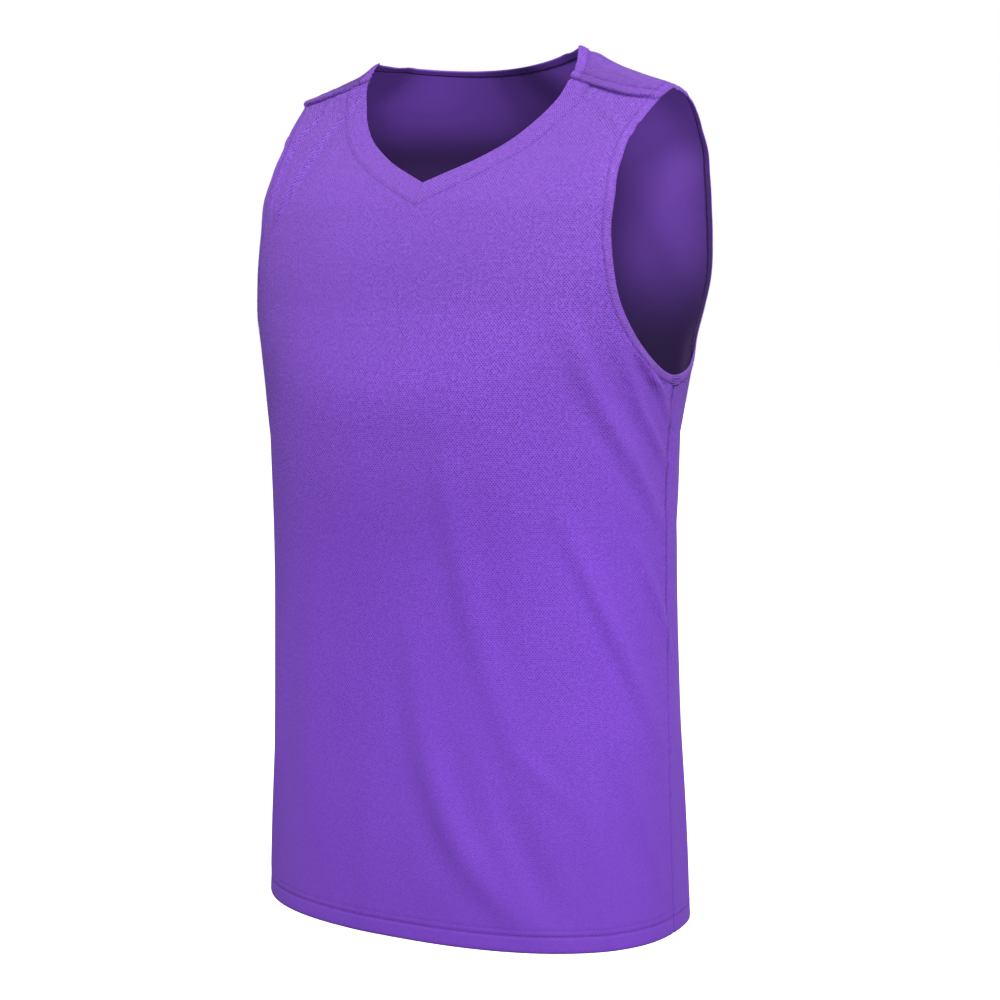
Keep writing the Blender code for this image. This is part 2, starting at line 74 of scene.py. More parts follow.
# Edges. The neckline and shoulder seam are (across, drop) on the front or back view, the armhole
# is (forward, drop) on the side view, from the underarm up the front and down the back.
edges = {
    "neckFront": (
        (0.0000, 0.1090), (0.0210, 0.0997), (0.0415, 0.0900), (0.0650, 0.0750), (0.0800, 0.0600),
        (0.0905, 0.0450), (0.0972, 0.0300), (0.0997, 0.0150), (0.0990, 0.0050), (0.0984, 0.0000),
    ),
    "neckBack": (
        (0.0984, 0.0000), (0.0935, 0.0008), (0.0790, 0.0030), (0.0600, 0.0056), (0.0400, 0.0075),
        (0.0200, 0.0087), (0.0000, 0.0091),
    ),
    "shoulderSeam": ((0.0985, 0.024), (0.1250, 0.033), (0.1500, 0.040), (0.1760, 0.043)),
    "armhole": (
        (-0.003, 0.2655), (0.019, 0.2610), (0.0392, 0.2500), (0.0585, 0.2325), (0.0720, 0.2090),
        (0.0775, 0.1800), (0.0765, 0.1450), (0.0693, 0.1150), (0.0558, 0.0900), (0.0389, 0.0695),
        (0.0200, 0.0525), (0.0035, 0.0400), (-0.011, 0.0335), (-0.028, 0.0342), (-0.045, 0.0392),
        (-0.060, 0.0475), (-0.0725, 0.0585), (-0.0825, 0.0725), (-0.0905, 0.0890), (-0.097, 0.1090),
        (-0.103, 0.1350), (-0.1055, 0.1630), (-0.1025, 0.1890), (-0.093, 0.2130), (-0.077, 0.2340),
        (-0.055, 0.2515), (-0.029, 0.2620),
    ),
}

# Creases: between two places, fading at both ends. Angles and bow are in degrees, the rest in
# metres. The half widths are those towards smaller and greater angles; a negative height is a trough.
creaseColumns = "aroundTop dropTop aroundLow dropLow bow widthBefore widthAfter height".split()
creases = (
    # from the chest to the left side
    (37, 0.205, 91, 0.402, -2.5, 0.0115, 0.0120, 0.0038),
    (56, 0.228, 94, 0.350, -3.0, 0.0080, 0.0080, 0.0032),
    (60, 0.236, 94, 0.312, 1.0, 0.0055, 0.0060, 0.0028),
    (70, 0.262, 92, 0.296, 1.0, 0.0040, 0.0040, 0.0012),
    (93, 0.285, 96, 0.372, 0.0, 0.0075, 0.0090, -0.0019),
    # long ones on the front's lower half
    (14, 0.290, 33, 0.590, -3.5, 0.0130, 0.0160, 0.0021),
    (5, 0.450, 20, 0.690, -4.5, 0.0150, 0.0170, 0.0024),
    (8, 0.560, 36, 0.722, -5.0, 0.0145, 0.0170, 0.0023),
    (26, 0.540, 44, 0.715, -4.0, 0.0130, 0.0170, -0.0022),
    (42, 0.352, 84, 0.575, -3.0, 0.0110, 0.0150, 0.0028),
    (68, 0.390, 95, 0.500, 0.0, 0.0100, 0.0110, 0.0024),
    (28, 0.556, 50, 0.620, 0.0, 0.0100, 0.0100, 0.0006),
    (62, 0.540, 84, 0.700, -2.0, 0.0160, 0.0140, 0.0018),
    (-20, 0.400, -34, 0.640, -3.0, 0.0180, 0.0160, 0.0014),
    (-48, 0.480, -60, 0.715, 3.0, 0.0160, 0.0180, 0.0018),
    # from the far shoulder down to the armhole, with small ones beside them
    (-46, 0.018, -43, 0.136, 4.0, 0.0034, 0.0030, 0.0032),
    (-34, 0.020, -44, 0.164, 5.0, 0.0042, 0.0034, 0.0040),
    (-50, 0.026, -49, 0.104, 3.0, 0.0032, 0.0030, 0.0008),
    (-26, 0.040, -33, 0.120, 2.0, 0.0080, 0.0060, 0.0010),
    # under the near shoulder
    (36, 0.030, 45, 0.082, 0.0, 0.0060, 0.0040, 0.0018),
    (45, 0.042, 50, 0.078, -1.0, 0.0050, 0.0045, 0.0010),
    # from the right underarm across the front
    (-42, 0.205, -88, 0.392, 3.0, 0.0180, 0.0160, 0.0013),
    (-58, 0.232, -94, 0.340, 3.0, 0.0090, 0.0080, 0.0016),
    (-62, 0.240, -92, 0.306, -1.0, 0.0060, 0.0055, 0.0012),
    # the back's own
    (140, 0.205, 100, 0.400, 3.0, 0.0150, 0.0130, 0.0022),
    (122, 0.240, 98, 0.330, 2.0, 0.0090, 0.0080, 0.0010),
    (-142, 0.205, -95, 0.390, -4.0, 0.0110, 0.0160, 0.0044),
    (-122, 0.240, -98, 0.336, -2.0, 0.0080, 0.0090, 0.0026),
    (168, 0.300, 148, 0.560, 4.0, 0.0240, 0.0140, 0.0046),
    (-172, 0.360, -144, 0.660, -5.0, 0.0150, 0.0250, 0.0052),
    (142, 0.470, 126, 0.715, -3.0, 0.0170, 0.0200, 0.0036),
    (-126, 0.480, -116, 0.715, 3.0, 0.0200, 0.0170, 0.0036),
    (160, 0.075, 140, 0.230, 4.0, 0.0160, 0.0240, 0.0018),
    (-158, 0.085, -138, 0.240, -4.0, 0.0240, 0.0160, 0.0018),
    # soft hangs above the hem
    (52, 0.560, 58, 0.740, -1.0, 0.0180, 0.0150, 0.0018),
    (-8, 0.580, -12, 0.740, 1.0, 0.0160, 0.0190, 0.0016),
    (-72, 0.520, -78, 0.740, 1.0, 0.0160, 0.0190, 0.0018),
    (104, 0.540, 108, 0.740, 1.0, 0.0180, 0.0160, 0.0018),
    (178, 0.560, 176, 0.740, 1.0, 0.0220, 0.0180, 0.0018),
    (-150, 0.600, -156, 0.740, 1.0, 0.0200, 0.0160, 0.0018),
    (-102, 0.560, -106, 0.740, -1.0, 0.0180, 0.0160, 0.0018),
)


# A column of the sections at any drop: a cubic through the rows, each slope from its neighbours.
sectionTable = np.array(shape["sections"])


def column(name, drop):
    x, y = sectionTable[:, 0], sectionTable[:, shape["columns"].index(name)]
    slope = np.gradient(y, x)
    drop = np.clip(drop, x[0], x[-1])
    k = np.clip(np.searchsorted(x, drop, side="right") - 1, 0, len(x) - 2)
    step = x[k + 1] - x[k]
    t = (drop - x[k]) / step
    return (
        y[k] * (1 + 2 * t) * (1 - t) ** 2
        + slope[k] * step * t * (1 - t) ** 2
        + y[k + 1] * t**2 * (3 - 2 * t)
        + slope[k + 1] * step * t**2 * (t - 1)
    )


def depthAndPower(drop, behind):
    depth = np.where(behind, column("backDepth", drop), column("frontDepth", drop))
    power = np.where(behind, column("backSquare", drop), column("frontSquare", drop))
    return depth, power


# The smooth form. At each drop x = a k sin, y = back - b k cos, with k = (|sin|^n + |cos|^n)^(-1/n):
# a superellipse with its own depth b and power n in front and behind.
def form(around, drop):
    sine, cosine = np.sin(around), np.cos(around)
    depth, power = depthAndPower(drop, cosine < 0)
    scale = (np.abs(sine) ** power + np.abs(cosine) ** power) ** (-1 / power)
    x = column("halfWidth", drop) * scale * sine
    y = column("sideBack", drop) - depth * scale * cosine
    return np.stack([x, y, shape["neckPointZ"] - drop], axis=-1)


def otherShare(share, power):
    return (1 - np.clip(np.abs(share), 0, 1) ** power) ** (1 / power)


def aroundAtWidth(across, drop, behind):
    share = np.clip(across / column("halfWidth", drop), 0, 1)
    angle = np.arctan2(share, otherShare(share, depthAndPower(drop, behind)[1]))
    return np.pi - angle if behind else angle


def aroundAtDepth(forward, drop):
    forward = forward + column("sideBack", drop)
    depth, power = depthAndPower(drop, forward < 0)
    share = forward / depth
    return np.pi / 2 - np.arctan2(share, otherShare(share, power))


meanRadius = 0.155  # measures degrees of turn as a length
longestStep = 0.002  # of a curve that is moved over the form


# Height of the creases: each is h sin(pi s) (1 - 1.3 n) exp(-n) at a share s of its length, with n
# the square of the distance aside over the half width on that side.
def creaseHeight(around, drop):
    lift = np.zeros(np.broadcast(around, drop).shape)
    for row in creases:
        c = dict(zip(creaseColumns, row))
        run = np.radians(c["aroundLow"] - c["aroundTop"]) * meanRadius
        fall = c["dropLow"] - c["dropTop"]
        length = np.hypot(run, fall)
        turn = ((around - np.radians(c["aroundTop"]) + np.pi) % (2 * np.pi) - np.pi) * meanRadius
        down = drop - c["dropTop"]
        share = np.clip((turn * run + down * fall) / length**2, 0, 1)
        bow = np.radians(c["bow"]) * meanRadius * np.sin(np.pi * share)
        aside = (turn * fall - down * run) / length - bow
        near = (aside / np.where(aside < 0, c["widthBefore"], c["widthAfter"])) ** 2
        lift += c["height"] * np.sin(np.pi * share) * (1 - 1.3 * near) * np.exp(-near)
    return lift


def unit(vectors):
    return vectors / np.maximum(np.linalg.norm(vectors, axis=-1, keepdims=True), 1e-12)


def tangents(surface, around, drop):
    h = 1e-4
    byAngle = (surface(around + h, drop) - surface(around - h, drop)) / (2 * h)
    byDrop = (surface(around, drop + h) - surface(around, drop - h)) / (2 * h)
    return byAngle, byDrop


def outward(surface, around, drop):
    byAngle, byDrop = tangents(surface, around, drop)
    return unit(np.cross(byDrop, byAngle))


# One side of the neck rides a little higher: z rises by h (1/3 + 2/3 x/w) exp(-(drop/f)^2).
lean = {"height": 0.0038, "halfWidth": 0.0984, "fade": 0.011}


# The outer face of the cloth: the form moved out along its normal by the creases, and leaning.
def cloth(around, drop):
    face = form(around, drop) + creaseHeight(around, drop)[..., None] * outward(form, around, drop)
    side = 1 / 3 + 2 / 3 * face[..., 0] / lean["halfWidth"]
    face[..., 2] += lean["height"] * side * np.exp(-((drop / lean["fade"]) ** 2))
    return face


def clothAndNormal(places):
    around, drop = slid(places)
    return cloth(around, drop), outward(cloth, around, drop)


def asPlaces(around, drop):
    return np.stack(np.broadcast_arrays(around, drop), axis=-1)


def placesAt(at, along, curve):
    return asPlaces(*[np.interp(at, along, measure) for measure in curve.T])


# Curves of places. through() is a smooth cubic through a table's rows; beside() is the curve moved
# sideways over the form in 2 mm steps; between() is the stretch from one crossing to the next.
def lengthOver(points):
    return np.hstack([0, np.cumsum(np.linalg.norm(np.diff(points, axis=0), axis=1))])


def lengthAlong(curve):
    return lengthOver(form(*curve.T))


def spaced(curve, count, tail=()):
    along = lengthAlong(curve)
    lengths = np.linspace(0, along[-1] - sum(tail), count + 1)
    return placesAt(np.hstack([lengths, lengths[-1] + np.cumsum(tail)]), along, curve)


def stations(line, style):
    return int(lengthAlong(line)[-1] / style["pitch"])


def through(rows, closed=False, fine=24):
    p = np.array(rows, float)
    if closed:
        p = np.vstack([p[-1], p, p[0], p[1]])
    else:
        p = np.vstack([2 * p[0] - p[1], p, 2 * p[-1] - p[-2]])
    t = np.linspace(0, 1, fine, endpoint=False)[:, None, None]
    a, b, c, d = p[:-3], p[1:-2], p[2:-1], p[3:]
    bend = 2 * a - 5 * b + 4 * c - d
    spans = 0.5 * (2 * b + (c - a) * t + bend * t**2 + (3 * b - a - 3 * c + d) * t**3)
    return np.vstack([spans.transpose(1, 0, 2).reshape(-1, 2), p[-2]])


# One short step over the form, along the part of a direction that lies in the cloth.
def stepOver(around, drop, direction, step):
    byAngle, byDrop = tangents(form, around, drop)
    normal = unit(np.cross(byDrop, byAngle))
    ahead = unit(direction - (direction * normal).sum(1, keepdims=True) * normal) * step
    aa, dd, ad = (byAngle**2).sum(1), (byDrop**2).sum(1), (byAngle * byDrop).sum(1)
    toAngle, toDrop = (ahead * byAngle).sum(1), (ahead * byDrop).sum(1)
    scale = aa * dd - ad**2
    return around + (toAngle * dd - toDrop * ad) / scale, drop + (toDrop * aa - toAngle * ad) / scale


def beside(curve, distance, side):
    around, drop = curve.T
    sideways = side * np.cross(np.gradient(form(around, drop), axis=0), outward(form, around, drop))
    steps = int(np.ceil(distance / longestStep))
    for _ in range(steps):
        around, drop = stepOver(around, drop, sideways, distance / steps)
    return asPlaces(around, drop)


def meeting(first, second, after=-1):
    a, b = first[:-1, None], np.diff(first, axis=0)[:, None]
    c, d = second[None, :-1], np.diff(second, axis=0)[None]
    turn = b[..., 0] * d[..., 1] - b[..., 1] * d[..., 0]
    turn = np.where(np.abs(turn) < 1e-15, 1e-15, turn)
    gap = c - a
    s = (gap[..., 0] * d[..., 1] - gap[..., 1] * d[..., 0]) / turn
    t = (gap[..., 0] * b[..., 1] - gap[..., 1] * b[..., 0]) / turn
    i, j = np.nonzero((s >= 0) & (s <= 1) & (t >= 0) & (t <= 1))
    at = i + s[i, j]
    return at[at > after].min()


def between(curve, first, last):
    start = meeting(curve, first)
    end = meeting(curve, last, start + 0.5)
    at = np.hstack([start, np.arange(np.floor(start) + 1, np.ceil(end)), end])
    return placesAt(at, np.arange(len(curve)), curve)


def upright(around, halfGap=0.0):
    drop = np.linspace(-0.01, shape["bodyLength"], 300)
    depth = depthAndPower(drop, halfGap > 0)[0]
    return asPlaces(around + halfGap / depth, drop)


def acrossCurve(rows, behind):
    across, drop = through(rows).T
    return asPlaces(aroundAtWidth(across, drop, behind), drop)


def neckEdge():
    edge = np.vstack([acrossCurve(edges["neckFront"], False)[:-1], acrossCurve(edges["neckBack"], True)])
    tail = np.linspace(16, 1, 16)[:, None]
    first, last = edge[0] - edge[1], edge[-1] - edge[-2]
    return np.vstack([edge[0] + tail * first, edge, edge[-1] + tail[::-1] * last])


def shoulderSeam():
    seam = acrossCurve(edges["shoulderSeam"], False)
    return np.vstack([25 * seam[0] - 24 * seam[1], seam, 25 * seam[-1] - 24 * seam[-2]])


def armholeEdge():
    forward, drop = through(edges["armhole"], closed=True).T
    edge = asPlaces(aroundAtDepth(forward, drop), drop)
    return np.vstack([edge[-60:-1], edge, edge[1:60]])


neckLine, armLine, seamLine = neckEdge(), armholeEdge(), shoulderSeam()
sideLine, centreFront, centreBack = upright(np.pi / 2), upright(0), upright(np.pi)


# Curves beside an edge, from their start to the shoulder seam: the neck's from the centre front or
# back, the armhole's from the underarm.
def edgeCurve(line, width, inward, start, front):
    turn = 1 if front else -1
    end = beside(seamLine, shape["seamGap"] / 2, turn)
    return between(beside(line[::turn], width, inward * turn), start, end)


def neckCurve(width, front):
    return edgeCurve(neckLine, width, 1, centreFront if front else centreBack, front)


def armCurve(width, front, side=sideLine):
    return edgeCurve(armLine, width, -1, side, front)


# Flat measures of a place: how far it lies round from the centre line, and up from the hem, both
# along the form. They are the cloth's own UV map, in metres.
flatDown, flatTurn = 146, 360
flatDrops = np.linspace(0, shape["bodyLength"], flatDown + 1)
flatGrid = form(*np.meshgrid(np.linspace(0, np.pi, flatTurn + 1), flatDrops))
flatRound = np.array([lengthOver(row) for row in flatGrid])
flatRise = {True: lengthOver(flatGrid[:, 0]), False: lengthOver(flatGrid[:, -1])}


def clothMap(places, front):
    around, drop = places[..., 0], np.clip(places[..., 1], 0, shape["bodyLength"])
    row = np.clip(drop / shape["bodyLength"] * flatDown, 0, flatDown - 0.001)
    turned = np.clip(np.abs(around) / np.pi * flatTurn, 0, flatTurn - 0.001)
    i, j = row.astype(int), turned.astype(int)
    s, t = row - i, turned - j
    part = lambda a, b: flatRound[a, b] * (1 - t) + flatRound[a, b + 1] * t
    total = flatRound[i, -1] * (1 - s) + flatRound[i + 1, -1] * s
    measured = part(i, j) * (1 - s) + part(i + 1, j) * s
    u = np.sign(around) * (measured if front else total - measured)
    rise = flatRise[front]
    v = rise[-1] - np.interp(drop, flatDrops, rise)
    return asPlaces(u, v)


scene = bpy.context.scene


def addObject(name, data):
    item = bpy.data.objects.new(name, data)
    scene.collection.objects.link(item)
    return item


sharpFrom = np.radians(62)


# Puts points, faces and the cloth's own measures into a mesh object.
def addPiece(name, points, faces, material, uv=None, marks=None):
    mesh = bpy.data.meshes.new(name)
    mesh.vertices.add(len(points))
    mesh.vertices.foreach_set("co", points.astype(np.float32).ravel())
    mesh.loops.add(faces.size)
    mesh.loops.foreach_set("vertex_index", faces.astype(np.int32).ravel())
    mesh.polygons.add(len(faces))
    mesh.polygons.foreach_set("loop_start", np.arange(0, faces.size, faces.shape[1], dtype=np.int32))
    mesh.update(calc_edges=True)
    mesh.validate()
    if uv is not None:
        layer = mesh.uv_layers.new(name="clothMap")
        layer.data.foreach_set("uv", uv[faces.ravel()].astype(np.float32).ravel())
    for mark, values in (marks or {}).items():
        mesh.attributes.new(mark, "FLOAT", "POINT").data.foreach_set("value", values.astype(np.float32))
    mesh.shade_smooth()
    mesh.set_sharp_from_angle(angle=sharpFrom)
    mesh.materials.append(material)
    return addObject(name, mesh)


# the seams' painted shade shows this much stronger on the inside
insideSeamShade = 3.5  # how much stronger seams show inside


# A wall of cloth over one or more grids of places: outer points are the cloth plus
# (out + shift) n, inner points the cloth plus (shift - under) n, with rims along every free edge.
def clothWall(name, grids, material, closed=False):
    points, uvs, faces, inner, seam, light, start = [], [], [], [], [], [], 0
    for grid in grids:
        places = grid["places"]
        surface, normal = clothAndNormal(places)
        size = places[..., 0].size
        index = np.arange(size).reshape(places.shape[:2])
        loop = np.vstack([index, index[:1]]) if closed else index
        a, b, c, d = loop[:-1, :-1], loop[:-1, 1:], loop[1:, 1:], loop[1:, :-1]
        quads = np.stack([a, b, c, d], axis=-1).reshape(-1, 4)
        rim = [(a[:, 0], d[:, 0]), (c[:, -1], b[:, -1])]
        if not closed:
            rim += [(b[0], a[0]), (d[-1], c[-1])]
        rim = np.vstack([np.stack(ends, axis=1) for ends in rim])
        onCentre = np.isin(np.round(np.abs(places[..., 0]).ravel(), 9), (0, round(np.pi, 9)))
        rim = rim[~onCentre[rim].all(axis=1)]
        walls = np.vstack([quads, quads[:, ::-1] + size, np.hstack([rim, rim[:, ::-1] + size])])
        out = (surface + (grid["out"] + grid["shift"])[..., None] * normal).reshape(-1, 3)
        under = (surface + (grid["shift"] - grid["under"])[..., None] * normal).reshape(-1, 3)
        q = quads[len(quads) // 2]
        if np.cross(out[q[1]] - out[q[0]], out[q[3]] - out[q[0]]) @ (out[q[0]] - under[q[0]]) < 0:
            walls = walls[:, ::-1]
        points += [out, under]
        faces.append(walls + start)
        uvs += [grid["uv"].reshape(-1, 2)] * 2
        inner += [np.zeros(size), np.ones(size)]
        seam += [grid["seam"].ravel(), np.clip(insideSeamShade * grid["seam"].ravel(), 0, 1)]
        # the inner face carries the painted light and painted shade of the inside
        light += [np.ones(size), paintedInnerLight(places).ravel()]
        start += 2 * size
    points, faces = np.vstack(points), np.vstack(faces)
    # the two halves share their points on the centre line
    _, first, back = np.unique(np.round(points, 7), axis=0, return_index=True, return_inverse=True)
    marks = {"inner": inner, "seam": seam, "light": light}
    marks = {mark: np.hstack(values)[first] for mark, values in marks.items()}
    return addPiece(name, points[first], back.ravel()[faces], material, np.vstack(uvs)[first], marks)


# How light the inside is painted: full near the neck and armholes and most at the top of the back on the
# wearer's right, painted shade lower down, at the centre back and left of it.
def paintedInnerLight(places):
    around, drop = places[..., 0], places[..., 1]
    fromBack = np.pi - np.abs(around)
    rightward = np.where(around < 0, fromBack, -fromBack)
    low = 0.94 * smooth(0.100, drop, 0.150)
    rightSide = 0.85 * smooth(0.030, drop, 0.050) * smooth(-0.25, rightward, 0.25)
    middle = 0.22 * bump(fromBack, 0.10) + 0.30 * smooth(0.60, fromBack, 0.25)
    middle = middle + 0.25 * bump(drop - 0.120, 0.045) * (around > 0) * smooth(0.20, fromBack, 0.20)
    left = 0.60 * bump(rightward + 0.22, 0.18)
    peak = 1 + 0.60 * bump(rightward - 0.48, 0.24) * bump(drop - 0.022, 0.022)
    return np.clip((1 - low) * (1 - rightSide) * (1 - middle) * (1 - left) * peak, 0.06, 1.6)


def mirrored(grid):
    return {**grid, "places": grid["places"] * (-1, 1), "uv": grid["uv"] * (-1, 1)}


# A half panel's places: each row runs in from the side seam or the armhole to the centre line or
# the neck seam, straight at first, and the upper rows take on the curve of the shoulder seam. The
# columns lie closely at both ends of a row.
def panelGrid(arm, neck, side, seam, bodyDrops, front):
    style = panelStyle
    sideRows = placesAt(bodyDrops, side[:, 1], side)
    rise = np.linspace(arm[0, 1], neck[0, 1], len(arm) - len(neck) + 1)[:-1]
    centreLine = asPlaces(0.0 if front else np.pi, np.hstack([bodyDrops, rise]))
    outer = np.vstack([sideRows, arm])[:, None]
    inner = np.vstack([centreLine, neck])[:, None]
    coarse = np.linspace(0, 1, 41)[:, None]
    rowLength = np.array([lengthAlong(line)[-1] for line in outer * (1 - coarse) + inner * coarse])
    ends = np.array(style["closeColumns"]) / rowLength[:, None]
    columns = np.linspace(0, 1, style["frontColumns" if front else "backColumns"] + 1)[1:-1]
    middle = ends[:, -1:] + (1 - 2 * ends[:, -1:]) * columns
    shares = np.hstack([ends, middle, 1 - ends[:, ::-1]])
    places = outer * (1 - shares[..., None]) + inner * shares[..., None]
    along = lengthAlong(seam)
    curve = placesAt(shares[-1] * along[-1], along, seam)
    bend = 1 - np.arange(len(places))[::-1] / int(style["bend"] / style["pitch"])
    places = places + np.clip(bend, 0, 1)[:, None, None] * (curve - places[-1])
    return places, shares * rowLength[:, None], (1 - shares) * rowLength[:, None]


hemStyle = {
    "depth": 0.018, "wall": 0.0021, "needles": (0.0140, 0.0189), "firm": (1.0, 0.35), "dip": 0.00045,
    "foldRows": (0, 0.0004, 0.0011, 0.0022, 0.0045, 0.0075, 0.0105),
    "needleRows": (-0.0014, -0.0006, 0, 0.0006, 0.0014), "lastRow": 0.0225,
}
panelStyle = {
    "pitch": 0.0030, "frontColumns": 80, "backColumns": 73, "roll": 0.00022, "pucker": 0.00030,
    "sideRoll": 0.0010, "bend": 0.085, "closeColumns": (0, 0.0007, 0.0016, 0.003),
    "closeRows": (0.0020, 0.0016, 0.0014, 0.0010, *[0.0008] * 3, 0.0010, 0.0008, 0.0006, 0.0005, 0.0005),
}


# Rows from the hem up to the underarm, close together at the fold and at both needle lines.
def hemRows(underarm):
    hem, length = hemStyle, shape["bodyLength"]
    needleRows = [line + row for line in hem["needles"] for row in hem["needleRows"]]
    near = [*hem["foldRows"], *needleRows, hem["lastRow"]]
    count = int((length - hem["lastRow"] - underarm) / panelStyle["pitch"])
    above = np.linspace(length - hem["lastRow"], underarm, count)[1:-1]
    return np.hstack([length - np.array(near), above])


def bump(distance, width):
    return np.exp(-((distance / width) ** 2))


def smooth(edge, distance, width):
    t = np.clip((distance - edge) / width, 0, 1)
    return t * t * (3 - 2 * t)


# An uneven wave from -1 to 1 along a seam: a sine whose phase and size wander slowly.
def ripple(along, length, seed):
    turn = 2 * np.pi * along / length
    wander = 1.4 * np.sin(turn / 3.7 + seed) + 0.8 * np.sin(turn / 7.3 + 2.1 * seed)
    return np.sin(turn + wander) * (0.6 + 0.4 * np.sin(turn / 2.6 + 1.7 * seed))


# How far a place lies behind the shoulder seam (negative in front), and how far along it.
seamFine = spaced(between(seamLine, beside(neckLine, 0.0, 1), beside(armLine, 0.0, -1)), 240)
seamPoints = form(*seamFine.T)
seamAhead = unit(np.gradient(seamPoints, axis=0))
seamAside = np.cross(outward(form, *seamFine.T), seamAhead)
seamLength = lengthAlong(seamFine)


def fromShoulderSeam(places):
    around, drop = np.abs(places[..., 0]), places[..., 1]
    behind, along = np.ones(drop.shape), np.zeros(drop.shape)
    near = (drop < 0.13) & (form(around, drop)[..., 0] > 0.06)
    points = form(around[near], drop[near])
    gap = ((points[:, None] - seamPoints[None]) ** 2).sum(-1)
    nearest = gap.argmin(1)
    delta = points - seamPoints[nearest]
    side = (delta * seamAside[nearest]).sum(1)
    behind[near] = np.sign(side) * np.sqrt(gap.min(1))
    inside = (nearest > 0) & (nearest < len(seamFine) - 1)
    sure = np.abs(behind[near]) < 0.004
    behind[near] = np.where(inside & sure, side, behind[near])
    along[near] = seamLength[nearest] + (delta * seamAhead[nearest]).sum(1)
    return behind, along


# The felled shoulder: behind the seam a raised strip, then a line of stitches; at the seam the
# front dips under it. Puckers run across the strip and out of the stitches.
fell = {
    "width": 0.0070, "needle": 0.0009, "rise": 0.0015, "groove": 0.0018, "dip": 0.0012,
    "pucker": 0.0009, "wrinkle": 0.0020,
}


def shoulderRelief(places):
    behind, along = fromShoulderSeam(places)
    strip = smooth(0.0, behind, 0.0011) * (1 - smooth(fell["width"], behind, 0.0011))
    crown = 0.3 * np.sin(np.pi * np.clip(behind / fell["width"], 0, 1))
    out = fell["rise"] * strip * (0.8 + crown)
    inFront, onYoke = np.clip(-behind, 0, 1), np.clip(behind - fell["width"], 0, 1)
    front = (behind < 0) * smooth(0, inFront, 0.003) * np.exp(-inFront / 0.011)
    back = (onYoke > 0) * np.exp(-onYoke / 0.007)
    # fine wrinkles on the yoke lie nearly along the seam
    yoke = smooth(0.001, onYoke, 0.004) * np.exp(-((onYoke / 0.042) ** 2)) * (behind > 0)
    slant = behind + 0.0022 * np.sin(along * 95 + 0.6) + 0.0014 * np.sin(along * 41)
    wrinkle = ripple(slant + 0.16 * along, 0.0090, 2.7) * (0.55 + 0.45 * np.sin(along * 70 + slant * 260))
    shift = fell["pucker"] * (ripple(along, 0.0078, 0.4) * front + 0.5 * ripple(along, 0.0061, 1.9) * back)
    shift = shift + fell["wrinkle"] * yoke * wrinkle - fell["groove"] * bump(behind + 0.0008, 0.0012)
    shift = shift - fell["dip"] * bump(behind - fell["width"] - fell["needle"], 0.0010)
    firm = 0.65 + 0.35 * np.sin(np.pi * np.clip((along - 0.012) / 0.060, 0, 1))  # strongest halfway out
    # painted shadow in the seam's groove, deepest halfway out, and in the stitches' dip
    mark = 1.1 * firm * bump(behind + 0.0004, 0.0011)
    mark = mark + 1.1 * (1.3 - firm) * bump(behind - fell["width"] - fell["needle"], 0.0010)
    return out, shift, mark


# The wearer's right shoulder lies further back: its places move back over the form by
# b exp(-(d/w)^2), with d the distance from the shoulder seam.
slide = {"back": 0.0100, "width": 0.020, "steps": 5}


def slid(places):
    around, drop = places[..., 0].copy(), places[..., 1].copy()
    behind, along = fromShoulderSeam(places)
    moving = (around < 0) & (np.abs(behind) < 3 * slide["width"]) & (drop < 0.13)
    a, d = np.abs(around[moving]), drop[moving]
    step = slide["back"] * bump(behind[moving], slide["width"]) / slide["steps"]
    aside = seamAside[np.abs(along[moving][:, None] - seamLength[None]).argmin(1)]
    for _ in range(slide["steps"]):
        a, d = stepOver(a, d, aside, step[:, None])
    around[moving], drop[moving] = -a, d
    return around, drop


# Painted shade outlining the tack at the underarm, a small rectangle.
tack = {"around": 91.5, "drop": 0.2700, "halfWidth": 0.0085, "halfHeight": 0.0034}


def tackOutlineShade(places):
    across = (np.abs(places[..., 0]) - np.radians(tack["around"])) * meanRadius / tack["halfWidth"]
    up = (places[..., 1] - tack["drop"]) / tack["halfHeight"]
    return 1.2 * bump(np.maximum(np.abs(across), np.abs(up)) - 0.85, 0.25)


# Places with their relief and painted seam shade, to which the shoulder's relief and painted shade and the
# tack's painted shade outline are added.
def gridOf(places, out, under, shift, mark, uv):
    moreOut, moreShift, moreMark = shoulderRelief(places)
    mark = np.clip(mark + moreMark + tackOutlineShade(places), 0, 1)
    grid = {"places": places, "uv": uv, "under": under, "seam": mark}
    return {**grid, "out": out + moreOut, "shift": shift + moreShift}
